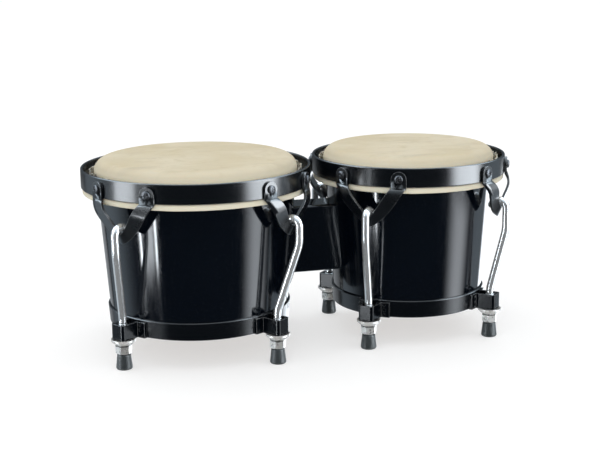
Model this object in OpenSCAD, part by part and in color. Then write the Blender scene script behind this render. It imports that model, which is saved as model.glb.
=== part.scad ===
// Pair of bongo drums: a large and a small tapered drum joined by a centre block.
// Millimetres, Z up, the floor under the rubber tips at z = 0, the front towards -Y.
// The large drum stands on the -X side and the small drum on the +X side.

/* [Layout] */
// Distance between the two drum axes
drum_spacing = 211.4; // [205:0.2:240]
// Turn of the large bottom ring and its lugs about the drum axis
large_ring_turn = -9.9; // [-20:0.1:20]
// Turn of the large crown hoop and its yokes about the drum axis
large_hoop_turn = -3.5; // [-20:0.1:20]
// Turn of the small bottom ring and its lugs about the drum axis
small_ring_turn = 1.5; // [-20:0.1:20]
// Turn of the small crown hoop and its yokes about the drum axis
small_hoop_turn = 3.2; // [-20:0.1:20]

/* [Shells] */
// Outside radius of the large shell at its top
large_shell_top_r = 94.4; // [90:0.1:100]
// Outside radius of the large shell at its open bottom
large_shell_low_r = 84.3; // [78:0.1:94]
// Outside radius of the small shell at its top
small_shell_top_r = 82.4; // [78:0.1:88]
// Outside radius of the small shell at its open bottom
small_shell_low_r = 72.9; // [68:0.1:82]
// Wall thickness of both shells
shell_wall = 7; // [5:0.5:10]
// Height of the open shell bottom above the floor
shell_low_z = 28; // [24:0.5:34]
// Height of the bearing edge above the floor
shell_top_z = 182.4; // [175:0.2:190]
// Radius of the rounded bearing edge
edge_round = 10; // [3:0.5:12]

/* [Hoops] */
// Outside radius of the large crown hoop
large_rim_r = 108; // [106:0.5:112]
// Outside radius of the small crown hoop
small_rim_r = 94.5; // [92:0.5:98]
// Thickness of the crown hoop band
rim_wall = 2.6; // [2.5:0.1:3.6]
// Height of the crown hoop band
rim_h = 18; // [16:0.5:20]
// Height of the lower edge of the crown hoop
rim_low_z = 158.5; // [157:0.5:160]
// Height of the skin-wrapped flesh hoop
wrap_h = 6; // [5:0.5:8]
// Thickness of the skin
skin_t = 1.5; // [1.2:0.1:1.8]
// Thickness of the bottom ring band
ring_wall = 1.8; // [1.4:0.1:2.4]
// Height of the bottom ring band
ring_h = 16.5; // [14:0.5:18]
// Height of the lower edge of the bottom ring
ring_low_z = 28.8; // [28.5:0.1:30]

/* [Yokes] */
// Width of the yoke strip at its tabs
tab_w = 14; // [13:0.5:16]
// Thickness of the yoke strip
strip_t = 2.3; // [2:0.1:2.6]
// Half the distance between the two screws of one yoke
tab_reach = 28.4; // [27:0.2:30]
// Height of the yoke screws
screw_z = 166.5; // [165.5:0.5:167.5]
// Height of the notch above the fold
notch_z = 129.8; // [127:0.2:134]
// Height of the lower end of the fold
fold_low_z = 120.6; // [118:0.2:124]
// How far the arms bow outward below the crease
arm_bow = 4.4; // [2:0.2:6]
// How far the lower edge of the arms swells, as a share of its reach
arm_swell = 0.1; // [0:0.01:0.14]

/* [Rods] */
// Radius of the smooth part of the rods
rod_r = 3.6; // [3.2:0.1:3.8]
// Radius over the threaded part of the rods
thread_r = 3.9; // [3.7:0.05:4]
// Distance of the large drum's lower rod ends from its axis
large_rod_low_r = 99.6; // [98:0.2:101]
// Distance of the large drum's upper rod parts from its axis
large_rod_high_r = 116.6; // [115:0.2:118]
// Distance of the small drum's lower rod ends from its axis
small_rod_low_r = 88.4; // [87:0.2:90]
// Distance of the small drum's upper rod parts from its axis
small_rod_high_r = 101.9; // [101:0.2:104]
// Height where the rods start to bend
bend_z = 46; // [44:0.5:50]
// Radius of the hook at the rod top
hook_r = 7; // [5:0.5:8]
// Angle the hook turns through
hook_turn = 132; // [100:1:140]
// Length of the straight tip after the hook
tip_len = 4; // [3:0.5:8]

/* [Lugs] */
// Inner half width of the lug bracket
lug_in_r = 5.6; // [5:0.1:6.5]
// Thickness of the lug strip
lug_t = 2.2; // [1.8:0.1:2.6]
// Height of the lug bracket
lug_h = 14.6; // [13:0.2:19]
// Radius of the outer corners of the lug bracket
lug_corner = 2.8; // [1:0.1:4]
// Outer radius of the cup washers
washer_r = 11.2; // [10:0.1:13]
// Height of the cup washers
washer_h = 4.8; // [3:0.2:6]
// Across-flats size of the tuning nuts
nut_af = 13; // [12:0.5:15]
// Height of the tuning nuts
nut_h = 8.8; // [8:0.2:11]
// Radius of the rubber tips at the floor
foot_r = 7.6; // [7:0.1:9]
// Height of the rubber tips
foot_h = 14.4; // [12:0.2:14.4]

/* [Block] */
// Thickness of the centre block from front to back
block_t = 35; // [30:1:45]
// Height of the lower face of the block
block_low_z = 67; // [60:1:75]
// Height of the upper face of the block
block_top_z = 132.3; // [125:0.1:140]

/* [Hidden] */
$fn = 96;

// drum 0 is the large one, drum 1 the small one
half_w = (large_rim_r + drum_spacing + small_rim_r) / 2;
axis_x = [large_rim_r - half_w, half_w - small_rim_r];
top_r = [large_shell_top_r, small_shell_top_r];
low_r = [large_shell_low_r, small_shell_low_r];
rim_r = [large_rim_r, small_rim_r];
rod_low_r = [large_rod_low_r, small_rod_low_r];
rod_high_r = [large_rod_high_r, small_rod_high_r];
ring_turn = [large_ring_turn, small_ring_turn];
hoop_turn = [large_hoop_turn, small_hoop_turn];
rod_lean = [18.4, 13.2];

steel_black = [0.07, 0.07, 0.08];
lacquer_black = [0.04, 0.04, 0.045];
chrome_grey = [0.78, 0.79, 0.8];
zinc_grey = [0.62, 0.61, 0.58];
hide_cream = [0.86, 0.8, 0.66];
rubber_dark = [0.13, 0.14, 0.14];

shell_h = shell_top_z - shell_low_z;
low_chamfer = 0.8;
// gap left between pieces that only touch
touch = 0.03;

// outside radius of a shell at height z, straight from its lower chamfer to its rounded top edge
function shell_r(d, z) =
    low_r[d] + (top_r[d] - low_r[d]) * (z - shell_low_z - low_chamfer) / (shell_h - low_chamfer - edge_round);
// points of an arc from angle a to angle b
function arc(cx, cz, r, a, b, n) =
    [for (i = [0:n]) let (q = a + (b - a) * i / n) [cx + r * cos(q), cz + r * sin(q)]];
// angle of lug or yoke number k, measured from the -Y direction towards +X
function lug_angle(d, k) = -45 + ring_turn[d] + 90 * k;
function yoke_angle(d, k) = -45 + hoop_turn[d] + 90 * k;
// a point at radius r, angle a and height z of drum d
function spot(d, r, a, z) = [axis_x[d] + r * sin(a), -r * cos(a), z];

// ---- shells ----
module shell(d) {
    e = edge_round;
    t = top_r[d];
    // angle where the bore cuts off the rounded edge, and the height there
    q = acos(max(0, e - shell_wall + 1.4) / e);
    zt = shell_top_z - e + e * sin(q);
    translate([axis_x[d], 0, 0])
    rotate_extrude()
    polygon(concat(
        [[shell_r(d, shell_low_z + 1) - shell_wall, shell_low_z + 1]],
        [[low_r[d] - shell_wall + 1, shell_low_z]],
        [[low_r[d] - low_chamfer, shell_low_z]],
        [[low_r[d], shell_low_z + low_chamfer]],
        arc(t - e, shell_top_z - e, e, 0, q, 10),
        [[t - shell_wall + 1.2, zt]],
        [[shell_r(d, zt - 1.2) - shell_wall, zt - 1.2]]
    ));
}

module bored_shell(d) {
    difference() {
        shell(d);
        bolt_holes();
    }
}

// ---- skin ----
module skin(d) {
    e = edge_round + 0.1;
    o = e + skin_t;
    t = top_r[d] - edge_round;
    z = shell_top_z - edge_round;
    zl = rim_low_z - wrap_h + 0.6;
    rl = shell_r(d, zl) + 0.1;
    translate([axis_x[d], 0, 0])
    rotate_extrude()
    polygon(concat(
        [[0, z + o + 0.8]],
        [[t * 0.6, z + o + 0.55]],
        arc(t, z, o, 90, 0, 14),
        [[rl + skin_t, zl]],
        [[rl, zl]],
        arc(t, z, e, 0, 90, 14),
        [[0, z + e]]
    ));
}

// ---- flesh hoop and the skin folded round it ----
module flesh_hoop(d) {
    ri = top_r[d] + skin_t + 1.7;
    ro = rim_r[d] - 2.3;
    z0 = rim_low_z - wrap_h + 1;
    z1 = rim_low_z - 1.1;
    translate([axis_x[d], 0, 0])
    rotate_extrude()
    polygon([[ri + 0.8, z0], [ro - 0.8, z0], [ro, z0 + 0.8], [ro, z1 - 0.8], [ro - 0.8, z1],
        [ri + 0.8, z1], [ri, z1 - 0.8], [ri, z0 + 0.8]]);
}

module skin_tuck(d) {
    ri = top_r[d] + skin_t + 0.7;
    ro = rim_r[d] - 1.3;
    z0 = rim_low_z - wrap_h;
    z1 = rim_low_z - 0.1;
    w = 0.98;
    translate([axis_x[d], 0, 0])
    rotate_extrude()
    polygon([[ri + 1.2, z0], [ro - 1.2, z0], [ro, z0 + 1.2], [ro, z1 - 0.8], [ro - 0.8, z1],
        [ri + 2.9, z1], [ri + 2.9, z1 + 17], [ri + 1.5, z1 + 16], [ri + 1.5, z1 - w],
        [ro - w, z1 - w], [ro - w, z0 + 1.2 + w / 2], [ro - 1.2 - w / 2, z0 + w],
        [ri + 1.2 + w / 2, z0 + w], [ri + w, z0 + 1.2 + w / 2], [ri + w, z1 + 0.6],
        [ri, z1 + 0.6], [ri, z0 + 1.2]]);
}

// ---- crown hoop ----
module rim(d) {
    r1 = rim_r[d];
    r0 = r1 - rim_wall;
    z0 = rim_low_z;
    z1 = rim_low_z + rim_h;
    difference() {
        translate([axis_x[d], 0, 0])
        rotate_extrude()
        polygon(concat(
            [[r0, z0 + 0.5]],
            [[r0 + 0.5, z0]],
            [[r1 - 0.5, z0]],
            [[r1, z0 + 0.5]],
            arc(r1 - 1.25, z1 - 1.25, 1.25, 0, 90, 5),
            arc(r0 + 1.25, z1 - 1.25, 1.25, 90, 180, 5)
        ));
        tab_holes(d, 2.5);
    }
}

// turn of each tab about the drum axis, seen from the middle of its yoke
function tab_angle(d) = asin(tab_reach / (rim_r[d] + touch + strip_t / 2));

// radial cylinders through every yoke tab and the crown hoop
module tab_holes(d, r) {
    for (k = [0:3])
    for (s = [-1, 1])
    translate([axis_x[d], 0, screw_z])
    rotate([0, 0, yoke_angle(d, k) + s * tab_angle(d) - 90])
    translate([rim_r[d] - rim_wall - 2, 0, 0])
    rotate([0, 90, 0])
    cylinder(r = r, h = rim_wall + strip_t + 6, $fn = 32);
}

// ---- yokes ----
// the strip's middle surface in the yoke's own frame: x along the hoop, y outward, z up
// u runs from one crease (-1) over the fold (0) to the other (1); v from the upper edge (0) to the lower (1)
function ease(w) = (sqrt(w * w + 0.012) - sqrt(0.012)) / (sqrt(1.012) - sqrt(0.012));
function crease_z() = rim_low_z - 0.4;
function crease_pt(d, v) =
    let (a = tab_angle(d), r = rim_r[d] + touch + strip_t / 2, q = (v * 2 - 1) * tab_w / 2)
    [tab_reach + q * cos(a), r * cos(a) - q * sin(a), crease_z()];
function fold_pt(d, v) = [0, rim_r[d] + 0.6 - 3.8 * v, notch_z + (fold_low_z - notch_z) * v];
function bow(w) = arm_bow * sin(180 * pow(w, 2.1)) + 1.5 * exp(-w * w / 0.03) - 1.5 * exp(-1 / 0.03);
function strip_pt(d, u, v) =
    let (w = abs(u), c = crease_pt(d, v), f = fold_pt(d, v), g = ease(w))
    let (swell = sign(u) * arm_swell * v * sin(180 * w))
    [c[0] * (u + swell), f[1] + (c[1] - f[1]) * w + bow(w), f[2] + (c[2] - f[2]) * g];
function unit(p) = p / norm(p);
function strip_normal(d, u, v) =
    let (h = 0.01)
    let (a = strip_pt(d, u + h, v) - strip_pt(d, u - h, v))
    let (b = strip_pt(d, u, v + h) - strip_pt(d, u, v - h))
    unit(cross(a, b));
function end_u(i, n) = 0.985 * (2 * i / n - 1);

module strip(d) {
    n = 36;
    m = 3;
    side = (n + 1) * (m + 1);
    grid = [for (i = [0:n]) for (j = [0:m]) let (u = end_u(i, n), v = j / m)
        [strip_pt(d, u, v), strip_normal(d, u, v)]];
    pts = concat(
        [for (g = grid) g[0] + g[1] * strip_t / 2],
        [for (g = grid) g[0] - g[1] * strip_t / 2]
    );
    outer = [for (i = [0:n - 1]) for (j = [0:m - 1]) let (a = i * (m + 1) + j) each
        [[a, a + 1, a + m + 2], [a, a + m + 2, a + m + 1]]];
    inner = [for (i = [0:n - 1]) for (j = [0:m - 1]) let (a = side + i * (m + 1) + j) each
        [[a, a + m + 2, a + 1], [a, a + m + 1, a + m + 2]]];
    top = [for (i = [0:n - 1]) let (a = i * (m + 1)) each
        [[a, a + m + 1, a + m + 1 + side], [a, a + m + 1 + side, a + side]]];
    bottom = [for (i = [0:n - 1]) let (a = i * (m + 1) + m) each
        [[a, a + m + 1 + side, a + m + 1], [a, a + side, a + m + 1 + side]]];
    start = [for (j = [0:m - 1]) each [[j, j + side, j + 1 + side], [j, j + 1 + side, j + 1]]];
    e = n * (m + 1);
    finish = [for (j = [0:m - 1]) each
        [[e + j, e + j + 1 + side, e + j + side], [e + j, e + j + 1, e + j + 1 + side]]];
    polyhedron(points = pts, faces = concat(outer, inner, top, bottom, start, finish), convexity = 6);
}

// flat tab lying against the hoop, with the crease bead at its lower end
module tab(d, s) {
    r = rim_r[d] + touch;
    rotate([0, 0, -s * tab_angle(d)])
    translate([0, r, 0]) {
        rotate([-90, 0, 0])
        linear_extrude(height = strip_t)
        union() {
            translate([0, -screw_z])
            circle(d = tab_w, $fn = 64);
            translate([-tab_w / 2, -screw_z])
            square([tab_w, screw_z - crease_z()]);
        }
        translate([-tab_w / 2, strip_t / 2, crease_z()])
        rotate([0, 90, 0])
        cylinder(d = strip_t, h = tab_w, $fn = 24);
    }
}

module yoke(d, k) {
    difference() {
        translate([axis_x[d], 0, 0])
        rotate([0, 0, yoke_angle(d, k) + 180])
        union() {
            strip(d);
            tab(d, 1);
            tab(d, -1);
        }
        tab_holes(d, 2.5);
    }
}

// pan head screws with a cross recess
module yoke_screws(d) {
    r0 = rim_r[d] - rim_wall;
    r1 = rim_r[d] + touch * 2 + strip_t;
    for (k = [0:3])
    for (s = [-1, 1])
    translate([axis_x[d], 0, screw_z])
    rotate([0, 0, yoke_angle(d, k) + s * tab_angle(d) - 90])
    rotate([0, 90, 0])
    difference() {
        rotate_extrude($fn = 48)
        polygon([[0, r0], [1.9, r0], [2.45, r0 + 0.6], [2.45, r1], [3.95, r1], [3.95, r1 + 1],
            [3.6, r1 + 1.6], [2.8, r1 + 2], [1.6, r1 + 2.25], [0, r1 + 2.3]]);
        translate([-2.2, -0.45, r1 + 1])
        cube([4.4, 0.9, 2]);
        translate([-0.45, -2.2, r1 + 1])
        cube([0.9, 4.4, 2]);
    }
}

// ---- bottom ring and lugs ----
module bottom_ring(d) {
    z0 = ring_low_z;
    z1 = ring_low_z + ring_h;
    a = shell_r(d, z0) + touch;
    b = shell_r(d, z1) + touch;
    w = ring_wall;
    translate([axis_x[d], 0, 0])
    rotate_extrude()
    polygon([[a, z0], [a + w - 0.5, z0], [shell_r(d, z0 + 0.5) + touch + w, z0 + 0.5],
        [shell_r(d, z1 - 0.7) + touch + w, z1 - 0.7], [b + w - 0.7, z1], [b, z1]]);
}

module lug_brackets(d) {
    rr = shell_r(d, ring_low_z) + touch * 2 + ring_wall;
    w = lug_in_r + lug_t;
    reach = rod_low_r[d] + w - rr + 6;
    for (k = [0:3])
    difference() {
        translate([axis_x[d], 0, 0])
        rotate([0, 0, lug_angle(d, k) - 90])
        difference() {
            translate([0, 0, ring_low_z])
            linear_extrude(height = lug_h)
            difference() {
                union() {
                    translate([rr - 6, -w])
                    square([reach - lug_corner, w * 2]);
                    translate([rr - 6, lug_corner - w])
                    square([reach, (w - lug_corner) * 2]);
                    for (s = [-1, 1])
                    translate([rr - 6 + reach - lug_corner, s * (w - lug_corner)])
                    circle(r = lug_corner, $fn = 48);
                    intersection() {
                        circle(r = rr + lug_t + 0.9);
                        translate([rr - 8, -w - 8])
                        square([20, w * 2 + 16]);
                    }
                }
                translate([rr - 7, -lug_in_r])
                square([rod_low_r[d] + lug_in_r - rr + 7, lug_in_r * 2]);
            }
            weld_dimples(rr + lug_t, w);
        }
        ring_space(d);
    }
}

// three shallow dimples in each flange
module weld_dimples(r, w) {
    for (s = [-1, 1])
    for (i = [0:2])
    rotate([0, 0, s * asin((w + 2.8) / r)])
    translate([r + 2.6, 0, ring_low_z + lug_h / 2 + 5 * (i - 1)])
    sphere(r = 2.4, $fn = 24);
}

// everything inside the outer face of the bottom ring
module ring_space(d) {
    a = shell_r(d, ring_low_z - 1) + touch * 2 + ring_wall;
    b = shell_r(d, ring_low_z + lug_h + 1) + touch * 2 + ring_wall;
    translate([axis_x[d], 0, ring_low_z - 1])
    cylinder(r1 = a, r2 = b, h = lug_h + 2);
}

module at_lug(d, k) {
    p = spot(d, rod_low_r[d], lug_angle(d, k), 0);
    translate(p)
    children();
}

module cup_washers(d) {
    z1 = ring_low_z - touch;
    z0 = z1 - washer_h;
    for (k = [0:3])
    at_lug(d, k)
    rotate_extrude($fn = 64)
    polygon([[4.2, z0], [7.4, z0], [8.6, z0 + 0.5], [washer_r, z1 - 1.9], [washer_r, z1],
        [washer_r - 0.9, z1], [7.6, z0 + 1.8], [4.2, z0 + 1.8]]);
}

module nut(d, k) {
    z1 = ring_low_z - washer_h - touch * 3;
    z0 = z1 - nut_h;
    r = nut_af / sqrt(3);
    at_lug(d, k)
    difference() {
        intersection() {
            translate([0, 0, z0])
            cylinder(r = r, h = nut_h, $fn = 6);
            rotate_extrude($fn = 64)
            polygon([[0, z0], [nut_af / 2 - 0.1, z0], [r + 0.05, z0 + 0.8], [r + 0.05, z1 - 0.9],
                [nut_af / 2 - 0.1, z1], [0, z1]]);
        }
        translate([0, 0, z0 - 1])
        cylinder(r = thread_r + 0.08, h = nut_h + 2, $fn = 48);
    }
}

module rubber_feet(d) {
    for (k = [0:3])
    at_lug(d, k)
    difference() {
        rotate_extrude($fn = 64)
        polygon([[0, 0], [foot_r - 1.6, 0], [foot_r - 0.5, 0.5], [foot_r, 1.5], [foot_r - 0.1, 3],
            [foot_r - 1.3, foot_h - 0.8], [foot_r - 1.9, foot_h], [0, foot_h]]);
        translate([0, 0, 3.9])
        cylinder(r = thread_r + 0.05, h = foot_h, $fn = 48);
    }
}

// ---- tension rods ----
module bend(r, angle) {
    rotate_extrude(angle = angle, $fn = 96)
    translate([r, 0])
    circle(r = rod_r, $fn = 48);
}

// straight piece of rod, a hair thinner than the bends and running a little into them
module straight(length) {
    translate([0, 0, -0.3])
    cylinder(r = rod_r - 0.02, h = length + 0.6, $fn = 48);
}

module rod(d, k) {
    low = spot(d, rod_low_r[d], lug_angle(d, k), 0);
    high = spot(d, rod_high_r[d], yoke_angle(d, k), 0);
    shift = norm(high - low);
    heading = atan2(high[1] - low[1], high[0] - low[0]);
    lean = rod_lean[d];
    ra = 25;
    rb = 40;
    run = (shift - (ra + rb) * (1 - cos(lean))) / sin(lean);
    z1 = bend_z;
    z2 = z1 + (ra + rb) * sin(lean) + run * cos(lean);
    zh = notch_z + 5.8 - hook_r;
    union() {
        translate([low[0], low[1], 4]) {
            cylinder(r1 = thread_r - 0.6, r2 = thread_r, h = 0.6, $fn = 48);
            translate([0, 0, 0.6])
            cylinder(r = thread_r, h = 38.4, $fn = 48);
        }
        translate([low[0], low[1], 42])
        straight(z1 - 42);
        translate([low[0], low[1], 0])
        rotate([0, 0, heading]) {
            translate([ra, 0, z1])
            rotate([90, 0, 0])
            rotate([0, 0, 180 - lean])
            bend(ra, lean);
            translate([ra * (1 - cos(lean)), 0, z1 + ra * sin(lean)])
            rotate([0, lean, 0])
            straight(run);
            translate([shift - rb, 0, z2])
            rotate([90, 0, 0])
            rotate([0, 0, -lean])
            bend(rb, lean);
        }
        translate([high[0], high[1], z2])
        straight(zh - z2);
        translate([high[0], high[1], zh])
        rotate([0, 0, yoke_angle(d, k) - 90])
        hook();
    }
}

// hook over the yoke's fold, open towards the drum
module hook() {
    translate([-hook_r, 0, 0])
    rotate([90, 0, 0]) {
        bend(hook_r, hook_turn);
        rotate([0, 0, hook_turn])
        translate([hook_r, 0, 0])
        rotate([-90, 0, 0]) {
            straight(tip_len);
            translate([0, 0, tip_len])
            sphere(r = rod_r, $fn = 48);
        }
    }
}

// ---- centre block ----
module block_section() {
    h = block_top_z - block_low_z;
    r = 2.5;
    union() {
        translate([-block_t / 2 + r, block_low_z])
        square([block_t - 2 * r, h]);
        translate([-block_t / 2, block_low_z + r])
        square([block_t, h - 2 * r]);
        for (y = [-block_t / 2 + r, block_t / 2 - r])
        for (z = [block_low_z + r, block_top_z - r])
        translate([y, z])
        circle(r = r, $fn = 32);
    }
}

// solid cone filling a shell out to its outer face
module shell_space(d, grow) {
    z0 = block_low_z - 5;
    z1 = block_top_z + 5;
    translate([axis_x[d], 0, z0])
    cylinder(r1 = shell_r(d, z0) + grow, r2 = shell_r(d, z1) + grow, h = z1 - z0, $fn = 240);
}

module block_body() {
    difference() {
        translate([axis_x[0] + 50, 0, 0])
        rotate([90, 0, 90])
        linear_extrude(height = drum_spacing - 90)
        block_section();
        shell_space(0, touch);
        shell_space(1, touch);
        bolt_holes();
    }
}

bolt_z = [83, 116];
bolt_r = 4;
// inner faces of the shells at each bolt, on the line between the drum axes
function inner_x(d, z) = axis_x[d] + (1 - 2 * d) * (shell_r(d, z) - shell_wall);

module bolt_holes() {
    for (z = bolt_z)
    translate([axis_x[0] + 66, 0, z])
    rotate([0, 90, 0])
    cylinder(r = bolt_r + 0.3, h = drum_spacing - 122, $fn = 48);
}

// curved pads: flat towards the bolt head or nut, round towards the shell
module block_washers() {
    for (z = bolt_z)
    for (d = [0, 1])
    difference() {
        intersection() {
            translate([inner_x(d, z) - (d == 0 ? 2.4 : 1.6), 0, z])
            rotate([0, 90, 0])
            cylinder(r = 11, h = 4, $fn = 64);
            inner_space(d, -touch);
        }
        bolt_holes();
    }
}

module inner_space(d, grow) {
    z0 = 50;
    z1 = 150;
    w = shell_wall;
    translate([axis_x[d], 0, z0])
    cylinder(r1 = shell_r(d, z0) - w + grow, r2 = shell_r(d, z1) - w + grow, h = z1 - z0, $fn = 360);
}

module bolts() {
    for (z = bolt_z) {
        x0 = inner_x(0, z) - 2.4 - touch;
        x1 = inner_x(1, z) + 2.4 + 8.5;
        translate([x0, 0, z])
        rotate([0, 90, 0])
        cylinder(r = bolt_r, h = x1 - x0, $fn = 48);
        intersection() {
            translate([x0 - 5.3, 0, z])
            rotate([0, 90, 0])
            cylinder(r = 13 / sqrt(3), h = 5.3, $fn = 6);
            translate([x0 - 5.3, 0, z])
            rotate([0, 90, 0])
            cylinder(r1 = 6.6, r2 = 13, h = 5.4, $fn = 48);
        }
    }
}

module bolt_nuts() {
    for (z = bolt_z)
    translate([inner_x(1, z) + 2.4 + touch, 0, z])
    rotate([0, 90, 0])
    difference() {
        intersection() {
            cylinder(r = 13 / sqrt(3), h = 6.5, $fn = 6);
            cylinder(r1 = 13, r2 = 6.6, h = 6.6, $fn = 48);
        }
        translate([0, 0, -1])
        cylinder(r = bolt_r + 0.05, h = 9, $fn = 48);
    }
}

// ---- named pieces ----

module large_shell() {
    color(lacquer_black)
    bored_shell(0);
}

module large_bottom_ring() {
    color(steel_black)
    bottom_ring(0);
}

module large_lug_brackets() {
    color(steel_black)
    lug_brackets(0);
}

module large_rim() {
    color(steel_black)
    rim(0);
}

module large_yoke_1() {
    color(steel_black)
    yoke(0, 0);
}

module large_yoke_2() {
    color(steel_black)
    yoke(0, 1);
}

module large_yoke_3() {
    color(steel_black)
    yoke(0, 2);
}

module large_yoke_4() {
    color(steel_black)
    yoke(0, 3);
}

module large_yoke_screws() {
    color(steel_black)
    yoke_screws(0);
}

module large_flesh_hoop() {
    color(zinc_grey)
    flesh_hoop(0);
}

module large_skin() {
    color(hide_cream)
    skin(0);
}

module large_skin_tuck() {
    color(hide_cream)
    skin_tuck(0);
}

module large_rod_1() {
    color(chrome_grey)
    rod(0, 0);
}

module large_rod_2() {
    color(chrome_grey)
    rod(0, 1);
}

module large_rod_3() {
    color(chrome_grey)
    rod(0, 2);
}

module large_rod_4() {
    color(chrome_grey)
    rod(0, 3);
}

module large_cup_washers() {
    color(zinc_grey)
    cup_washers(0);
}

module large_nut_1() {
    color(zinc_grey)
    nut(0, 0);
}

module large_nut_2() {
    color(zinc_grey)
    nut(0, 1);
}

module large_nut_3() {
    color(zinc_grey)
    nut(0, 2);
}

module large_nut_4() {
    color(zinc_grey)
    nut(0, 3);
}

module large_rubber_feet() {
    color(rubber_dark)
    rubber_feet(0);
}

module small_shell() {
    color(lacquer_black)
    bored_shell(1);
}

module small_bottom_ring() {
    color(steel_black)
    bottom_ring(1);
}

module small_lug_brackets() {
    color(steel_black)
    lug_brackets(1);
}

module small_rim() {
    color(steel_black)
    rim(1);
}

module small_yoke_1() {
    color(steel_black)
    yoke(1, 0);
}

module small_yoke_2() {
    color(steel_black)
    yoke(1, 1);
}

module small_yoke_3() {
    color(steel_black)
    yoke(1, 2);
}

module small_yoke_4() {
    color(steel_black)
    yoke(1, 3);
}

module small_yoke_screws() {
    color(steel_black)
    yoke_screws(1);
}

module small_flesh_hoop() {
    color(zinc_grey)
    flesh_hoop(1);
}

module small_skin() {
    color(hide_cream)
    skin(1);
}

module small_skin_tuck() {
    color(hide_cream)
    skin_tuck(1);
}

module small_rod_1() {
    color(chrome_grey)
    rod(1, 0);
}

module small_rod_2() {
    color(chrome_grey)
    rod(1, 1);
}

module small_rod_3() {
    color(chrome_grey)
    rod(1, 2);
}

module small_rod_4() {
    color(chrome_grey)
    rod(1, 3);
}

module small_cup_washers() {
    color(zinc_grey)
    cup_washers(1);
}

module small_nut_1() {
    color(zinc_grey)
    nut(1, 0);
}

module small_nut_2() {
    color(zinc_grey)
    nut(1, 1);
}

module small_nut_3() {
    color(zinc_grey)
    nut(1, 2);
}

module small_nut_4() {
    color(zinc_grey)
    nut(1, 3);
}

module small_rubber_feet() {
    color(rubber_dark)
    rubber_feet(1);
}

module centre_block() {
    color(lacquer_black)
    block_body();
}

module block_bolts() {
    color(zinc_grey)
    bolts();
}

module block_bolt_washers() {
    color(zinc_grey)
    block_washers();
}

module block_bolt_nuts() {
    color(zinc_grey)
    bolt_nuts();
}

large_shell();
large_bottom_ring();
large_lug_brackets();
large_rim();
large_yoke_1();
large_yoke_2();
large_yoke_3();
large_yoke_4();
large_yoke_screws();
large_flesh_hoop();
large_skin();
large_skin_tuck();
large_rod_1();
large_rod_2();
large_rod_3();
large_rod_4();
large_cup_washers();
large_nut_1();
large_nut_2();
large_nut_3();
large_nut_4();
large_rubber_feet();
small_shell();
small_bottom_ring();
small_lug_brackets();
small_rim();
small_yoke_1();
small_yoke_2();
small_yoke_3();
small_yoke_4();
small_yoke_screws();
small_flesh_hoop();
small_skin();
small_skin_tuck();
small_rod_1();
small_rod_2();
small_rod_3();
small_rod_4();
small_cup_washers();
small_nut_1();
small_nut_2();
small_nut_3();
small_nut_4();
small_rubber_feet();
centre_block();
block_bolts();
block_bolt_washers();
block_bolt_nuts();
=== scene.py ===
"""Looks of the pair of bongo drums: materials, skins, pressed yokes, floor, light and camera.

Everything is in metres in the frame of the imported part: Z up, the floor at z = 0, the front towards -Y,
the large drum on the -X side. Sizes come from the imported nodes.
"""

import math

import bmesh
import bpy
from mathutils import Matrix, Vector, noise


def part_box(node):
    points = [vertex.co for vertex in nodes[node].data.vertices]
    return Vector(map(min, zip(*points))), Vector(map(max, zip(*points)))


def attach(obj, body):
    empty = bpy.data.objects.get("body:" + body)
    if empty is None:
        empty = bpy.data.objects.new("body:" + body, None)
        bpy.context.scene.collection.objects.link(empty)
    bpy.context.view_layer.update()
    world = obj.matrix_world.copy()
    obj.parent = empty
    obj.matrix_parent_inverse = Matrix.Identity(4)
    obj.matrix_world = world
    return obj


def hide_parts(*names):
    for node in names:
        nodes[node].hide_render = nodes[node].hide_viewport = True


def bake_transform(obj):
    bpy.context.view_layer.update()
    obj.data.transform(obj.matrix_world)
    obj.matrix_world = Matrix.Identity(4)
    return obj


MM = 0.001
DRUMS = ("large", "small")
THREAD_PITCH = 1.25 * MM
THREAD_TOP = 43.0 * MM
SKIN_TURNS = 288
TAIL_TURNS = 560
PANEL_DISTANCE = 1.5

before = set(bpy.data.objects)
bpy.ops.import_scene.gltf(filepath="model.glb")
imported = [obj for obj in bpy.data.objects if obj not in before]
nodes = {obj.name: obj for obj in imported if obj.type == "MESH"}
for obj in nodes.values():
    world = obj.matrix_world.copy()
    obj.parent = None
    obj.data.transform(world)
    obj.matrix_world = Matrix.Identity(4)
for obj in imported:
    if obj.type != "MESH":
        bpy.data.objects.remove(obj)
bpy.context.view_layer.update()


# ---- node helpers ----


def put(tree, kind, settings=None, **inputs):
    """Adds a node; an input is a value or another node's output."""
    node = tree.nodes.new(kind)
    for key, value in (settings or {}).items():
        setattr(node, key, value)
    for key, value in inputs.items():
        plug(tree, node.inputs[key.replace("_", " ")], value)
    return node


def plug(tree, socket, value):
    if isinstance(value, bpy.types.NodeSocket):
        tree.links.new(value, socket)
    else:
        socket.default_value = value


def calc(tree, operation, a, b=0.0, c=0.0, clamp=False):
    node = put(tree, "ShaderNodeMath", {"operation": operation, "use_clamp": clamp})
    for socket, value in zip(node.inputs, (a, b, c)):
        plug(tree, socket, value)
    return node.outputs[0]


def remap(tree, value, low, high, to_low=0.0, to_high=1.0):
    node = put(
        tree,
        "ShaderNodeMapRange",
        {"interpolation_type": "SMOOTHSTEP"},
        Value=value,
        From_Min=low,
        From_Max=high,
        To_Min=to_low,
        To_Max=to_high,
    )
    return node.outputs[0]


def blend_colour(tree, factor, a, b, kind="MIX"):
    node = put(tree, "ShaderNodeMix", {"data_type": "RGBA", "blend_type": kind})
    plug(tree, node.inputs[0], factor)
    for socket, value in ((node.inputs[6], a), (node.inputs[7], b)):
        plug(tree, socket, (*value, 1.0) if isinstance(value, tuple) else value)
    return node.outputs[2]


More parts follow.
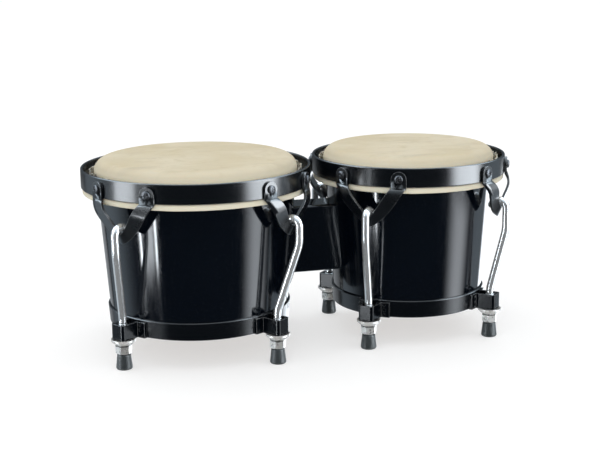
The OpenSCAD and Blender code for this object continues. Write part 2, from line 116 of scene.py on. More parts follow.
def grain(tree, place, scale, detail=3.0, rough=0.5, twist=0.0):
    node = put(
        tree,
        "ShaderNodeTexNoise",
        Vector=place,
        Scale=scale,
        Detail=detail,
        Roughness=rough,
        Distortion=twist,
    )
    return node.outputs[0]


def stretch(tree, place, scale):
    return put(tree, "ShaderNodeMapping", Vector=place, Scale=scale).outputs[0]


def relief(tree, height, depth, normal=None):
    """Bump of the given depth in metres."""
    node = put(tree, "ShaderNodeBump", Height=height, Distance=depth, Strength=1.0)
    if normal is not None:
        plug(tree, node.inputs["Normal"], normal)
    return node.outputs[0]


def soft_edge(tree, radius):
    """Normal rounded over sharp edges."""
    return put(tree, "ShaderNodeBevel", {"samples": 6}, Radius=radius).outputs[0]


def edge_mask(tree, radius):
    """1 on sharp edges, 0 on open faces."""
    rounded = soft_edge(tree, radius)
    face = put(tree, "ShaderNodeNewGeometry").outputs["Normal"]
    likeness = put(tree, "ShaderNodeVectorMath", {"operation": "DOT_PRODUCT"})
    plug(tree, likeness.inputs[0], rounded)
    plug(tree, likeness.inputs[1], face)
    return remap(tree, likeness.outputs["Value"], 0.99, 0.8)


def polar(tree, place, axis_x):
    """Radius, angle and height about a drum axis."""
    parts = put(tree, "ShaderNodeSeparateXYZ", Vector=place).outputs
    x = calc(tree, "SUBTRACT", parts[0], axis_x)
    square = calc(tree, "ADD", calc(tree, "POWER", x, 2.0), calc(tree, "POWER", parts[1], 2.0))
    return calc(tree, "SQRT", square), calc(tree, "ARCTAN2", parts[1], x), parts[2]


def new_material(name):
    """An empty material: its tree, its shader and its object coordinates."""
    material = bpy.data.materials.new(name)
    material.use_nodes = True
    tree = material.node_tree
    tree.nodes.clear()
    shader = put(tree, "ShaderNodeBsdfPrincipled")
    put(tree, "ShaderNodeOutputMaterial", Surface=shader.outputs[0])
    place = put(tree, "ShaderNodeTexCoord").outputs["Object"]
    return material, tree, shader, place


def finish_shader(tree, shader, **inputs):
    for key, value in inputs.items():
        plug(tree, shader.inputs[key.replace("_", " ")], value)


# ---- materials ----


def lacquer(name, axis_x=None, inner_low=0.0, inner_slope=0.0):
    """Deep black gloss lacquer over wood. With an axis, the bore inside the shell is bare stave wood."""
    material, tree, shader, place = new_material(name)
    cloud = grain(tree, place, 18.0, 4.0)
    scuff = grain(tree, stretch(tree, place, (400.0, 400.0, 30.0)), 1.0, 2.0, 0.6)
    dust = grain(tree, place, 1500.0, 1.0)
    patchy = remap(tree, grain(tree, place, 160.0), 0.45, 0.7)
    # the edges paler where the lacquer is worn through
    pale_edge = calc(tree, "MULTIPLY", edge_mask(tree, 0.7 * MM), patchy)
    colour = blend_colour(tree, cloud, (0.0004, 0.0012, 0.0032), (0.0010, 0.0024, 0.0052))
    colour = blend_colour(tree, calc(tree, "MULTIPLY", pale_edge, 0.5), colour, (0.06, 0.055, 0.05))
    gloss = calc(tree, "ADD", remap(tree, scuff, 0.35, 0.75, 0.07, 0.13), calc(tree, "MULTIPLY", cloud, 0.05))
    gloss = calc(tree, "ADD", gloss, remap(tree, dust, 0.68, 0.76, 0.0, 0.2))
    wave = relief(tree, grain(tree, stretch(tree, place, (60.0, 60.0, 22.0)), 1.0, 1.0), 0.02 * MM)
    wave = relief(tree, grain(tree, place, 900.0, 2.0), 0.0015 * MM, wave)
    finish_shader(
        tree,
        shader,
        Base_Color=colour,
        Roughness=gloss,
        IOR=1.5,
        Coat_Weight=0.2,
        Coat_Roughness=0.06,
    )
    if axis_x is None:
        finish_shader(tree, shader, Normal=wave)
        return material
    radius, angle, height = polar(tree, place, axis_x)
    wall = calc(tree, "MULTIPLY_ADD", height, inner_slope, inner_low)
    inside = remap(tree, calc(tree, "SUBTRACT", radius, wall), 1.2 * MM, 0.4 * MM)
    staves = 14.0
    turn = calc(tree, "MULTIPLY", angle, staves / math.tau)
    joint = calc(tree, "ABSOLUTE", calc(tree, "SUBTRACT", calc(tree, "FRACT", turn), 0.5))
    seam = remap(tree, joint, 0.488, 0.498)
    number = calc(tree, "FLOOR", turn)
    stave = put(tree, "ShaderNodeTexWhiteNoise", {"noise_dimensions": "1D"}, W=number).outputs[0]
    fibre = grain(tree, stretch(tree, place, (900.0, 900.0, 25.0)), 1.0, 6.0, 0.65, 0.4)
    wood = blend_colour(tree, fibre, (0.30, 0.17, 0.085), (0.52, 0.35, 0.20))
    wood = blend_colour(tree, calc(tree, "MULTIPLY", stave, 0.35), wood, (0.26, 0.15, 0.08))
    wood = blend_colour(tree, seam, wood, (0.05, 0.03, 0.02))
    coat = calc(tree, "MULTIPLY", calc(tree, "SUBTRACT", 1.0, inside), 0.2)
    rough = relief(tree, fibre, 0.06 * MM, wave)
    normal = put(tree, "ShaderNodeMix", {"data_type": "VECTOR"})
    plug(tree, normal.inputs[0], inside)
    plug(tree, normal.inputs[4], wave)
    plug(tree, normal.inputs[5], rough)
    finish_shader(
        tree,
        shader,
        Base_Color=blend_colour(tree, inside, colour, wood),
        Roughness=calc(tree, "MAXIMUM", gloss, calc(tree, "MULTIPLY", inside, 0.7)),
        Coat_Weight=coat,
        Normal=normal.outputs[1],
    )
    return material


def painted_steel(name, gloss, peel, shine=0.6, edge_wear_and_highlight=0.28, edge_band_width=0.5 * MM):
    """Black stoved paint on steel with orange peel, softened edges and pale corners. The pale corners are
    partly rubbed bare metal and partly a painted highlight along every edge.
    The fifth argument is the least share of that pale colour on a corner, the sixth how far it reaches."""
    material, tree, shader, place = new_material(name)
    cloud = grain(tree, place, 35.0, 4.0)
    fine = grain(tree, place, 700.0, 3.0)
    chips = remap(tree, grain(tree, place, 420.0, 4.0, 0.7), 0.56, 0.66)
    # painted highlight: every edge gets at least the fifth argument's share of pale metal, besides the rubbed
    # chips
    bare_metal_and_highlight = calc(tree, "MULTIPLY_ADD", chips, 0.6, edge_wear_and_highlight, clamp=True)
    rub_and_edge_highlight = calc(tree, "MULTIPLY", edge_mask(tree, edge_band_width), bare_metal_and_highlight)
    colour = blend_colour(tree, cloud, (0.0005, 0.0011, 0.0022), (0.0014, 0.0024, 0.0040))
    colour = blend_colour(tree, rub_and_edge_highlight, colour, (0.24, 0.245, 0.25))
    rough = calc(tree, "MULTIPLY_ADD", cloud, 0.12, gloss)
    rough = calc(tree, "ADD", rough, calc(tree, "MULTIPLY", fine, 0.05))
    normal = relief(tree, fine, peel, soft_edge(tree, 0.55 * MM))
    finish_shader(
        tree,
        shader,
        Base_Color=colour,
        Roughness=rough,
        Specular_IOR_Level=shine,
        Metallic=calc(tree, "MULTIPLY", rub_and_edge_highlight, 0.4),
        Coat_Weight=0.2,
        Coat_Roughness=0.12,
        Normal=normal,
    )
    return material


def oxide_steel():
    """Screws: blackened steel. Their bright rims are partly rubbed metal and partly a painted highlight."""
    material, tree, shader, place = new_material("black_screw_oxide")
    blotch = grain(tree, place, 500.0, 3.0)
    # painted highlight: pale rims on the screw edges, partly rubbed metal
    rub_and_edge_highlight = calc(tree, "MULTIPLY", edge_mask(tree, 0.35 * MM), remap(tree, blotch, 0.3, 0.7, 0.25, 0.9))
    colour = blend_colour(tree, blotch, (0.035, 0.037, 0.042), (0.085, 0.089, 0.095))
    finish_shader(
        tree,
        shader,
        Base_Color=blend_colour(tree, rub_and_edge_highlight, colour, (0.32, 0.32, 0.33)),
        Metallic=0.85,
        Roughness=remap(tree, blotch, 0.3, 0.7, 0.26, 0.42),
        Normal=relief(tree, grain(tree, place, 2500.0, 2.0), 0.004 * MM, soft_edge(tree, 0.25 * MM)),
    )
    return material


def zinc(name, metal, shade_line_z=None):
    """Warm grey zinc plate: faint spangle, fine turning marks and dull patches, with pale edges. The pale
    edges are partly worn and partly a painted highlight.
    The third argument is the height of a dark line of painted shade round a nut, below its washer."""
    material, tree, shader, place = new_material(name)
    patch = grain(tree, place, 240.0, 4.0, 0.6)
    spangle = put(tree, "ShaderNodeTexVoronoi", Vector=place, Scale=1300.0).outputs["Color"]
    lines = grain(tree, stretch(tree, place, (60.0, 60.0, 5000.0)), 1.0, 2.0)
    colour = blend_colour(tree, patch, (0.47, 0.46, 0.44), (0.76, 0.75, 0.72))
    colour = blend_colour(tree, 0.07, colour, spangle, "OVERLAY")
    # pale edges: partly worn plate, partly a painted highlight along every edge
    pale_edge = edge_mask(tree, 0.3 * MM)
    colour = blend_colour(tree, calc(tree, "MULTIPLY", pale_edge, 0.8), colour, (0.92, 0.91, 0.89))
    if shade_line_z is not None:
        height = put(tree, "ShaderNodeSeparateXYZ", Vector=place).outputs[2]
        # painted shade: a near-black line round the part at that height
        away = calc(tree, "ABSOLUTE", calc(tree, "SUBTRACT", height, shade_line_z))
        shade_line = remap(tree, away, 0.8 * MM, 0.3 * MM, 0.0, 0.9)
        colour = blend_colour(tree, shade_line, colour, (0.035, 0.035, 0.033))
    finish_shader(
        tree,
        shader,
        Base_Color=colour,
        Metallic=metal,
        Roughness=remap(tree, patch, 0.3, 0.7, 0.24, 0.38),
        Normal=relief(tree, lines, 0.006 * MM, soft_edge(tree, 0.25 * MM)),
    )
    return material


def chrome(thread_top):
    """Bright drawn and plated rod: long scratches, slightly dull patches, rolled thread low down."""
    material, tree, shader, place = new_material("chrome_plate")
    patch = grain(tree, place, 90.0, 4.0)
    drawn = grain(tree, stretch(tree, place, (2600.0, 2600.0, 40.0)), 1.0, 2.0)
    height = put(tree, "ShaderNodeSeparateXYZ", Vector=place).outputs[2]
    ridge = calc(tree, "PINGPONG", height, THREAD_PITCH / 2)
    threaded = remap(tree, height, thread_top + 0.3 * MM, thread_top - 0.3 * MM)
    thread = calc(tree, "MULTIPLY", calc(tree, "DIVIDE", ridge, THREAD_PITCH), threaded)
    gloss = remap(tree, drawn, 0.3, 0.75, 0.19, 0.24)
    gloss = calc(tree, "ADD", gloss, calc(tree, "MULTIPLY", threaded, 0.14))
    normal = relief(tree, drawn, 0.0008 * MM)
    normal = relief(tree, thread, 1.2 * MM, normal)
    finish_shader(
        tree,
        shader,
        Base_Color=blend_colour(tree, patch, (0.66, 0.675, 0.685), (0.76, 0.77, 0.775)),
        Metallic=0.75,
        Roughness=gloss,
        Normal=normal,
    )
    return material


def moulded_rubber():
    """Dark grey-green rubber: matt bloom, fine texture and dusty lower edge."""
    material, tree, shader, place = new_material("moulded_rubber")
    bloom = grain(tree, place, 210.0, 5.0, 0.6)
    skin = grain(tree, place, 2200.0, 3.0)
    height = put(tree, "ShaderNodeSeparateXYZ", Vector=place).outputs[2]
    low_down = remap(tree, height, 2.6 * MM, 0.2 * MM)
    dusty = calc(tree, "MULTIPLY", low_down, remap(tree, bloom, 0.35, 0.7, 0.2, 0.8))
    colour = blend_colour(tree, bloom, (0.009, 0.013, 0.014), (0.022, 0.029, 0.031))
    finish_shader(
        tree,
        shader,
        Base_Color=blend_colour(tree, dusty, colour, (0.11, 0.115, 0.11)),
        Roughness=remap(tree, bloom, 0.3, 0.7, 0.38, 0.55),
        Sheen_Weight=0.15,
        Sheen_Roughness=0.5,
        Normal=relief(tree, skin, 0.02 * MM, soft_edge(tree, 0.6 * MM)),
    )
    return material


def hide(name, drum, seed, trimmed=False):
    """Calf skin: cream with yellow and grey clouding, faint streaks, veins and pores. Its shoulder is
    painted darker as shade, and its side wall is painted lighter as light. The band round the hoop is given
    its own tone for the light it gets. The trimmed end is rough, with near-black and pale patches."""
    material, tree, shader, place = new_material(name)
    place = put(tree, "ShaderNodeMapping", Vector=place, Location=(seed, seed * 0.7, 0.0)).outputs[0]
    cloud = grain(tree, place, 14.0, 5.0, 0.55, 0.6)
    stain = grain(tree, place, 42.0, 5.0, 0.6, 1.2)
    streak = grain(tree, stretch(tree, place, (14.0, 75.0, 75.0)), 1.0, 5.0, 0.6, 0.5)
    vein = grain(tree, place, 30.0, 2.0, 0.4, 2.5)
    vein = calc(tree, "ABSOLUTE", calc(tree, "SUBTRACT", vein, 0.5))
    vein = remap(tree, vein, 0.018, 0.0)
    pores = put(tree, "ShaderNodeTexVoronoi", Vector=place, Scale=620.0).outputs["Distance"]
    colour = blend_colour(tree, remap(tree, cloud, 0.3, 0.72), (0.672, 0.618, 0.480), (0.602, 0.537, 0.383))
    colour = blend_colour(tree, remap(tree, stain, 0.50, 0.75, 0.0, 0.50), colour, (0.532, 0.468, 0.328))
    colour = blend_colour(tree, remap(tree, streak, 0.53, 0.78, 0.0, 0.55), colour, (0.515, 0.473, 0.374))
    colour = blend_colour(tree, remap(tree, streak, 0.44, 0.2, 0.0, 0.6), colour, (0.730, 0.688, 0.575))
    colour = blend_colour(tree, calc(tree, "MULTIPLY", vein, 0.10), colour, (0.452, 0.365, 0.236))
    colour = blend_colour(tree, remap(tree, pores, 0.22, 0.05, 0.0, 0.16), colour, (0.435, 0.357, 0.228))
    plain = put(tree, "ShaderNodeTexCoord").outputs["Object"]
    reach, _, height = polar(tree, plain, drum.axis_x)
    if trimmed:
        # near-black and pale patches at random over the trimmed end
        dark_patches = remap(tree, grain(tree, plain, 330.0, 4.0, 0.7), 0.44, 0.54, 0.0, 0.92)
        colour = blend_colour(tree, dark_patches, (0.80, 0.78, 0.70), (0.050, 0.050, 0.045))
    else:
        # painted shade: the shoulder coloured darker, against the bright band it catches in the light
        shoulder_shade = remap(tree, reach, drum.head_r - 13.0 * MM, drum.head_r - 4.0 * MM, 0.0, 0.5)
        colour = blend_colour(tree, shoulder_shade, colour, (0.612, 0.558, 0.430))
        # painted light: the side wall coloured lighter than the top, as if lit from the front
        wall = remap(tree, height, drum.skin_top - 5.0 * MM, drum.skin_top - 10.0 * MM)
        colour = blend_colour(tree, wall, colour, (0.77, 0.715, 0.56))
    # painted light: from just above the hoop's lower edge down, a tone set to how bright the front light
    # shows the band. It is darker than the lightened wall.
    folded = remap(tree, height, drum.rim_low + 2.0 * MM, drum.rim_low - 1.0 * MM, 0.0, 0.75)
    colour = blend_colour(tree, folded, colour, (0.600, 0.568, 0.460))
    normal = relief(tree, grain(tree, place, 160.0, 4.0, 0.6), 0.10 * MM)
    normal = relief(tree, pores, 0.025 * MM, normal)
    finish_shader(
        tree,
        shader,
        Base_Color=colour,
        Roughness=remap(tree, stain, 0.3, 0.7, 0.42, 0.56),
        Specular_IOR_Level=0.0,
        Subsurface_Weight=0.12,
        Subsurface_Radius=(1.0, 0.55, 0.3),
        Subsurface_Scale=2.0 * MM,
        Normal=normal,
    )
    return material


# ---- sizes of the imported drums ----


def middle_x(node):
    low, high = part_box(node)
    return (low.x + high.x) / 2


def half_width(node):
    low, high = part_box(node)
    return (high.x - low.x) / 2


class Drum:
    """Sizes of one drum, read from its nodes."""

    def __init__(self, name):
        self.name = name
        self.axis_x = middle_x(name + "_rim")
        self.head_r = half_width(name + "_skin")
        self.skin_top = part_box(name + "_skin")[1].z
        self.wrap_low, self.tail_top = (corner.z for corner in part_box(name + "_skin_tuck"))
        self.wrap_r = half_width(name + "_skin_tuck")
        self.rim_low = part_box(name + "_rim")[0].z
        self.under_rim = self.rim_low - 0.62 * MM
        self.shell_low, self.shell_top = (corner.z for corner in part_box(name + "_shell"))
        low_r, low_z = self.bore_point(lambda z: z < self.shell_low + 2 * MM)
        top_r, top_z = self.bore_point(lambda z: z > self.shell_top - 2 * MM)
        self.taper = (top_r - low_r) / (top_z - low_z)
        self.bore_r = low_r - self.taper * low_z

    def bore_point(self, wanted):
        """Radius and height of the narrowest point of the shell where wanted(height) holds."""
        points = (v.co for v in nodes[self.name + "_shell"].data.vertices if wanted(v.co.z))
        return min((math.hypot(p.x - self.axis_x, p.y), p.z) for p in points)


drums = [Drum(name) for name in DRUMS]


# ---- soft pieces ----


def rounded_path(corners, step):
    """Points along a line through corners (r, z, fillet radius), each corner rounded."""
    points = [Vector(corners[0][:2])]
    for i in range(1, len(corners) - 1):
        before, here, after = (Vector(c[:2]) for c in corners[i - 1 : i + 2])
        fillet = corners[i][2]
        a, b = (before - here).normalized(), (after - here).normalized()
        half = math.acos(max(-1.0, min(1.0, a.dot(b)))) / 2
        cut = fillet / math.tan(half)
        centre = here + (a + b).normalized() * (fillet / math.sin(half))
        start, stop = here + a * cut, here + b * cut
        v0, v1 = start - centre, stop - centre
        sweep = math.atan2(v0.cross(v1), v0.dot(v1))
        straight_to(points, start, step)
        count = max(4, math.ceil(abs(sweep) * fillet / (0.45 * MM)))
        for j in range(1, count + 1):
            turn = Matrix.Rotation(sweep * j / count, 2)
            points.append(centre + turn @ v0)
    straight_to(points, Vector(corners[-1][:2]), step)
    return points


def straight_to(points, end, step):
    start = points[-1].copy()
    count = max(1, math.ceil((end - start).length / step))
    for j in range(1, count + 1):
        points.append(start.lerp(end, j / count))


def sheet(name, axis_x, path, thick, shape, turns):
    """A closed sheet of revolution about a drum axis. thick(i) is the thickness at path point i and
    shape(i, angle) the extra (radial, upward) shift of that point."""
    normals = []
    for i in range(len(path)):
        along = (path[min(i + 1, len(path) - 1)] - path[max(i - 1, 0)]).normalized()
        normals.append(Vector((-along.y, along.x)))
    open_centre = path[0].x > 1e-6
    rings = []
    mesh = bmesh.new()
    for side in (0.5, -0.5):
        for i, point in enumerate(path):
            at = point + normals[i] * thick(i) * side
            if i == 0 and not open_centre:
                rings.append([mesh.verts.new((axis_x, 0.0, at.y))])
                continue
            ring = []
            for j in range(turns):
                angle = math.tau * j / turns
                out, up = shape(i, angle)
                r, z = at.x + out, at.y + up
                ring.append(mesh.verts.new((axis_x + r * math.cos(angle), r * math.sin(angle), z)))
            rings.append(ring)
    n = len(path)
    strips = [(rings[i], rings[i + 1]) for i in range(n - 1)]
    strips += [(rings[i + 1], rings[i]) for i in range(n, 2 * n - 1)]
    strips.append((rings[n - 1], rings[2 * n - 1]))
    if open_centre:
        strips.append((rings[n], rings[0]))
    for a, b in strips:
        for j in range(turns):
            k = (j + 1) % turns
            if len(a) == 1:
                mesh.faces.new((a[0], b[j], b[k]))
            elif len(b) == 1:
                mesh.faces.new((a[j], b[0], a[k]))
            else:
                mesh.faces.new((a[j], b[j], b[k], a[k]))
    bmesh.ops.recalc_face_normals(mesh, faces=mesh.faces)
    data = bpy.data.meshes.new(name)
    mesh.to_mesh(data)
    mesh.free()
    data.shade_smooth()
    piece = bpy.data.objects.new(name, data)
    bpy.context.scene.collection.objects.link(piece)
    return piece


def around(angle, scale, seed, level=0.0):
    """Noise that closes round the drum, about -1 to 1."""
    return noise.noise(Vector((scale * math.cos(angle), scale * math.sin(angle), seed + level)))


def drum_skin(drum, seed):
    """The whole head: playing surface, shoulder, side wall and the wrap round the flesh hoop."""
    shoulder, crown = 10.85 * MM, 0.8 * MM
    half_top, half_wrap = 0.75 * MM, 0.5 * MM
    side_r = drum.head_r - half_top
    top = drum.skin_top - half_top
    low = drum.wrap_low + half_wrap
    edge_r = drum.wrap_r - half_wrap
    path = rounded_path(
        [
            (0.0, top, 0.0),
            (side_r + 0.2 * MM, top - crown, shoulder),
            (side_r - drum.taper * (top - low), low, 1.5 * MM),
            (edge_r, low, 1.5 * MM),
            (edge_r, drum.under_rim, 1.3 * MM),
            (drum.head_r + 5.0 * MM, drum.under_rim, 0.0),
        ],
        3.0 * MM,
    )
    flat_r = side_r - shoulder

    def thick(i):
        """Thin round the flesh hoop, 1.5 mm from 10 mm above the hoop's lower edge upwards."""
        share = max(0.0, min(1.0, (path[i].y - drum.rim_low) / (10 * MM)))
        return (0.96 + 0.54 * share) * MM

    def shape(i, angle):
        r, z = path[i]
        if r < flat_r + 3 * MM and z > drum.skin_top - 4 * MM:
            x, y = r * math.cos(angle), r * math.sin(angle)
            fade = max(0.0, min(1.0, (flat_r - r) / (12 * MM)))
            wave = noise.noise(Vector((x * 26, y * 26, seed))) * 0.16
            wave += noise.noise(Vector((x * 95, y * 95, seed + 9))) * 0.05
            bow = (1 - (r / flat_r) ** 2) * 0.3 if r < flat_r else 0.0
            return 0.0, (wave * fade + bow * 0.5) * MM
        if z > drum.rim_low + 1.0 * MM:
            hang = max(0.0, min(1.0, (drum.skin_top - 8 * MM - z) / (14 * MM)))
            return max(0.0, around(angle, 16, seed, z * 60) * 0.22 * hang) * MM, 0.0
        if r > edge_r - 2.5 * MM:
            pleat = around(angle, 22, seed + 4) * 0.30 + around(angle, 60, seed + 7, z * 120) * 0.12
            lift = around(angle, 9, seed + 2) * 0.25 if z < drum.wrap_low + 2 * MM else 0.0
            return pleat * MM, min(0.0, lift) * MM
        return 0.0, 0.0

    piece = sheet(drum.name + "_head_skin", drum.axis_x, path, thick, shape, SKIN_TURNS)
    piece.data.materials.append(hide(drum.name + "_calf_skin", drum, seed))
    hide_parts(drum.name + "_skin")
    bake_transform(piece)


def skin_tail(drum, seed):
    """The trimmed, puckered end of the skin standing up between the head and the crown hoop."""
    stand_r = drum.head_r + 3.1 * MM
    path = rounded_path(
        [
            (stand_r + 3.0 * MM, drum.under_rim, 0.0),
            (stand_r, drum.under_rim, 1.2 * MM),
            (stand_r - 0.2 * MM, drum.tail_top - 1.0 * MM, 0.0),
        ],
        0.9 * MM,
    )
    low = drum.rim_low
    tall = path[-1].y - low

    def thick(i):
        return (0.9 - 0.35 * max(0.0, (path[i].y - low) / tall)) * MM

    def shape(i, angle):
        share = max(0.0, (path[i].y - low) / tall)
        pleat = around(angle, 20, seed + 1, share * 0.6) * 1.0 + around(angle, 55, seed + 5, share) * 0.8
        trim = around(angle, 7, seed + 3) * 1.2 + around(angle, 34, seed + 6) * 1.6
        trim += around(angle, 95, seed + 8) * 2.4 - 1.0
        return pleat * share * MM, min(1.0, trim) * share * MM

    piece = sheet(drum.name + "_skin_tail", drum.axis_x, path, thick, shape, TAIL_TURNS)
    piece.data.materials.append(hide(drum.name + "_trimmed_skin", drum, seed, trimmed=True))
    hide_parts(drum.name + "_skin_tuck")
    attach(piece, drum.name + "_head")


# ---- pressed yokes ----


def pressed_yoke(node, body, material):
    """The yoke as one smooth pressed strip with eased edges."""
    source = nodes[node]
    data = source.data.copy()
    data.materials.clear()
    mesh = bmesh.new()
    mesh.from_mesh(data)
    for layer in list(mesh.loops.layers.float_vector.values()):
        mesh.loops.layers.float_vector.remove(layer)
    bmesh.ops.remove_doubles(mesh, verts=mesh.verts, dist=0.002 * MM)
    bmesh.ops.dissolve_degenerate(mesh, edges=mesh.edges, dist=0.002 * MM)
    bmesh.ops.recalc_face_normals(mesh, faces=mesh.faces)
    mesh.to_mesh(data)
    mesh.free()
    piece = bpy.data.objects.new(node + "_pressed", data)
    bpy.context.scene.collection.objects.link(piece)
    data.normals_split_custom_set([(0.0, 0.0, 0.0)] * len(data.loops))
    data.set_sharp_from_angle(angle=math.radians(40))
    data.materials.append(material)
    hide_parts(node)
    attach(piece, body)


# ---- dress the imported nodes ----


def paint(node, material):
    for place in nodes[node].material_slots:
        place.material = material


rim_paint = painted_steel("hoop_paint", 0.13, 0.005 * MM)
# the yokes get a high least share, which paints highlight outlines along their edges
strap_paint = painted_steel("yoke_paint", 0.20, 0.010 * MM, 0.85, 0.55, 0.7 * MM)
ring_paint = painted_steel("ring_paint", 0.15, 0.006 * MM, 0.4)
# the lugs get a higher one, which paints highlight outlines along their edges and weld dents
lug_paint = painted_steel("lug_paint", 0.10, 0.004 * MM, 0.20, 0.85, 0.8 * MM)
block_lacquer = lacquer("block_lacquer")
oxide = oxide_steel()
plate = zinc("zinc_plate", 0.75)
# the nuts get a line of painted shade 1.2 mm below their top
nut_plate = zinc("nut_plate", 0.7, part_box("large_nut_1")[1].z - 1.2 * MM)
dull_plate = zinc("dull_zinc_plate", 0.4)
rod_chrome = chrome(THREAD_TOP)
rubber = moulded_rubber()

for drum in drums:
    name = drum.name
    paint(name + "_shell", lacquer(name + "_shell_lacquer", drum.axis_x, drum.bore_r, drum.taper))
    paint(name + "_rim", rim_paint)
    paint(name + "_bottom_ring", ring_paint)
    paint(name + "_lug_brackets", lug_paint)
    paint(name + "_yoke_screws", oxide)
    paint(name + "_flesh_hoop", plate)
    paint(name + "_cup_washers", dull_plate)
    paint(name + "_rubber_feet", rubber)
    for k in range(1, 5):
        paint(f"{name}_rod_{k}", rod_chrome)
        paint(f"{name}_nut_{k}", nut_plate)
        pressed_yoke(f"{name}_yoke_{k}", name + "_head", strap_paint)
paint("centre_block", block_lacquer)
paint("block_bolts", plate)
paint("block_bolt_washers", plate)
paint("block_bolt_nuts", plate)

# each skin has its own seed of the noise
for drum, skin_seed, tail_seed in zip(drums, (3.1, 17.7), (43.1, 57.7)):
    drum_skin(drum, skin_seed)
    skin_tail(drum, tail_seed)


# ---- floor, light and camera ----


def flat_panel(name, width, height, place, aim, material):
    """A rectangle facing a point."""
    mesh = bmesh.new()
    corners = ((-0.5, -0.5), (0.5, -0.5), (0.5, 0.5), (-0.5, 0.5))
    mesh.faces.new([mesh.verts.new((x * width, y * height, 0.0)) for x, y in corners])
    data = bpy.data.meshes.new(name)
    mesh.to_mesh(data)
    mesh.free()
    panel = bpy.data.objects.new(name, data)
    bpy.context.scene.collection.objects.link(panel)
    panel.location = place
    panel.rotation_euler = (Vector(aim) - Vector(place)).to_track_quat("Z", "Y").to_euler()
    data.materials.append(material)
    return panel


def floor_material():
    material, tree, shader, place = new_material("studio_floor")
    cloud = grain(tree, place, 3.0, 3.0)
    finish_shader(
        tree,
        shader,
        Base_Color=blend_colour(tree, cloud, (0.47, 0.47, 0.47), (0.50, 0.50, 0.50)),
        Roughness=0.9,
        Specular_IOR_Level=0.1,
        Emission_Color=(1.0, 1.0, 1.0, 1.0),
        Emission_Strength=0.56,
    )
    return material


def panel_light(name, strength, side_fade, end_fade):
    """Glowing panel; side_fade and end_fade are the shares of its half width and half height
    that fade out."""
    material = bpy.data.materials.new(name)
    material.use_nodes = True
    tree = material.node_tree
    tree.nodes.clear()
    place = put(tree, "ShaderNodeTexCoord").outputs["Generated"]
    parts = put(tree, "ShaderNodeSeparateXYZ", Vector=place).outputs
    power = strength
    for part, fade in ((parts[0], side_fade), (parts[1], end_fade)):
        reach = calc(tree, "ABSOLUTE", calc(tree, "MULTIPLY_ADD", part, 2.0, -1.0))
        power = calc(tree, "MULTIPLY", remap(tree, reach, 1.0, 1.0 - fade), power)
    glow = put(tree, "ShaderNodeEmission", Color=(0.88, 0.94, 1.0, 1.0), Strength=power)
    put(tree, "ShaderNodeOutputMaterial", Surface=glow.outputs[0])
    return material


def softbox(name, azimuth, width, low, high, strength, side_fade, end_fade):
    """Upright panel seen only in reflections; azimuth 0 is the front, 90 the +X side."""
    a = math.radians(azimuth)
    middle = (low + high) / 2
    place = (PANEL_DISTANCE * math.sin(a), -PANEL_DISTANCE * math.cos(a), middle)
    glow = panel_light(name + "_glow", strength, side_fade, end_fade)
    panel = flat_panel(name, width, high - low, place, (0.0, 0.0, middle), glow)
    panel.visible_camera = False
    panel.visible_diffuse = False
    panel.visible_shadow = False


floor = flat_panel("floor", 60.0, 60.0, (0.0, 0.0, 0.0), (0.0, 0.0, 1.0), floor_material())
floor.visible_glossy = False

# name, azimuth, width, lower and upper end, strength, fading shares of the half width and half height;
# the hoops mirror what stands above -0.25 m and the tapered shells what stands below it
for panel in (
    ("left_wide_high", -83.0, 0.70, -0.24, 1.60, 10.0, 0.30, 0.05),
    ("left_line_high", -62.0, 0.12, -0.24, 1.60, 5.0, 0.60, 0.05),
    ("left_wide_low", -71.0, 0.34, -0.46, -0.24, 9.0, 0.20, 0.60),
    ("left_line_low", -62.0, 0.08, -0.46, -0.24, 36.0, 0.50, 0.60),
    ("left_far_line_low", -81.0, 0.08, -0.47, -0.26, 36.0, 0.50, 0.60),
    ("left_back_low", -166.0, 1.10, -1.20, -0.05, 0.5, 0.40, 0.20),
    ("right_wide_high", 54.0, 1.36, -0.24, 1.60, 12.5, 0.60, 0.05),
    ("right_wide_low", 61.0, 1.24, -0.90, -0.24, 4.4, 0.95, 0.20),
    ("right_back_low", 138.0, 1.20, -1.20, -0.05, 4.0, 0.40, 0.20),
):
    softbox(*panel)


def area_light(name, place, aim, width, height, watts):
    data = bpy.data.lights.new(name, "AREA")
    data.shape = "RECTANGLE"
    data.size, data.size_y, data.energy = width, height, watts
    lamp = bpy.data.objects.new(name, data)
    bpy.context.scene.collection.objects.link(lamp)
    lamp.location = place
    lamp.rotation_euler = (Vector(aim) - Vector(place)).to_track_quat("-Z", "Y").to_euler()
    return lamp


area_light("overhead", (-0.2, -0.1, 1.7), (0.0, 0.0, 0.1), 1.6, 1.2, 5.0)
front_fill = area_light("front_fill", (-0.5, -1.8, 0.7), (0.0, 0.0, 0.12), 1.2, 0.9, 7.0)
front_fill.visible_glossy = False

# the camera's place, as the direction from the target back to it
VIEW_AZIMUTH, VIEW_ELEVATION, VIEW_ROLL = -14.72, 12.66, -0.6
VIEW_TARGET = Vector((1.9 * MM, 0.0, 110.0 * MM))
VIEW_DISTANCE = 1226.0 * MM
a, e, r = (math.radians(v) for v in (VIEW_AZIMUTH, VIEW_ELEVATION, VIEW_ROLL))
back = Vector((math.sin(a) * math.cos(e), -math.cos(a) * math.cos(e), math.sin(e)))
right = Vector((math.cos(a), math.sin(a), 0.0))
upward = back.cross(right)
right, upward = right * math.cos(r) + upward * math.sin(r), upward * math.cos(r) - right * math.sin(r)

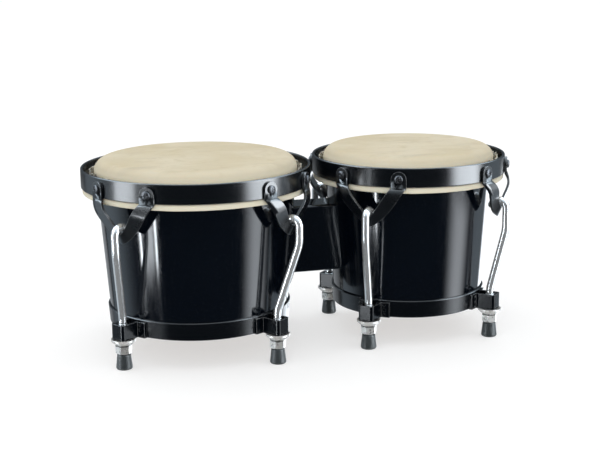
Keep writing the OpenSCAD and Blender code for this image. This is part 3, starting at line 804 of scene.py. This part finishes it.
# white for the camera and for soft light; in reflections dark behind the camera, bright at the sides,
# with a bright band of cove between the horizon and the ceiling
world = bpy.data.worlds.new("studio")
bpy.context.scene.world = world
world.use_nodes = True
sky = world.node_tree
sky.nodes.clear()
ray = put(sky, "ShaderNodeLightPath")
heading = put(sky, "ShaderNodeTexCoord").outputs["Generated"]
up = put(sky, "ShaderNodeSeparateXYZ", Vector=heading).outputs[2]
towards = put(sky, "ShaderNodeVectorMath", {"operation": "DOT_PRODUCT"})
plug(sky, towards.inputs[0], heading)
plug(sky, towards.inputs[1], (math.sin(a), -math.cos(a), 0.0))
facing = towards.outputs["Value"]
sides = remap(sky, facing, 0.30, -0.25, 0.05, 0.8)
behind = remap(sky, facing, -0.3, -0.95, 0.0, 0.65)
ceiling = remap(sky, up, 0.25, 0.75, 0.0, 1.2)
cove = calc(sky, "MULTIPLY", remap(sky, up, 0.32, 0.5), remap(sky, up, 0.97, 0.85, 0.0, 6.0))
off_centre = calc(sky, "ABSOLUTE", calc(sky, "ADD", facing, 0.22))
cove = calc(sky, "MULTIPLY", cove, remap(sky, off_centre, 0.5, 0.2))
glare = calc(sky, "ADD", calc(sky, "SUBTRACT", sides, behind), calc(sky, "ADD", ceiling, cove))
seen = put(sky, "ShaderNodeBackground", Color=(1.0, 1.0, 1.0, 1.0), Strength=0.85)
mirrored = put(sky, "ShaderNodeBackground", Color=(0.74, 0.88, 1.0, 1.0), Strength=glare)
mixed = put(sky, "ShaderNodeMixShader", Fac=ray.outputs["Is Glossy Ray"])
plug(sky, mixed.inputs[1], seen.outputs[0])
plug(sky, mixed.inputs[2], mirrored.outputs[0])
put(sky, "ShaderNodeOutputWorld", Surface=mixed.outputs[0])

camera_data = bpy.data.cameras.new("camera")
camera_data.lens = 75.45
camera_data.sensor_width = 36.0
camera_data.clip_end = 200.0
camera = bpy.data.objects.new("camera", camera_data)
bpy.context.scene.collection.objects.link(camera)
turn = Matrix((right, upward, back)).transposed().to_4x4()
camera.matrix_world = Matrix.Translation(VIEW_TARGET + back * VIEW_DISTANCE) @ turn
bpy.context.scene.camera = camera
bpy.context.scene.view_settings.view_transform = "Standard"
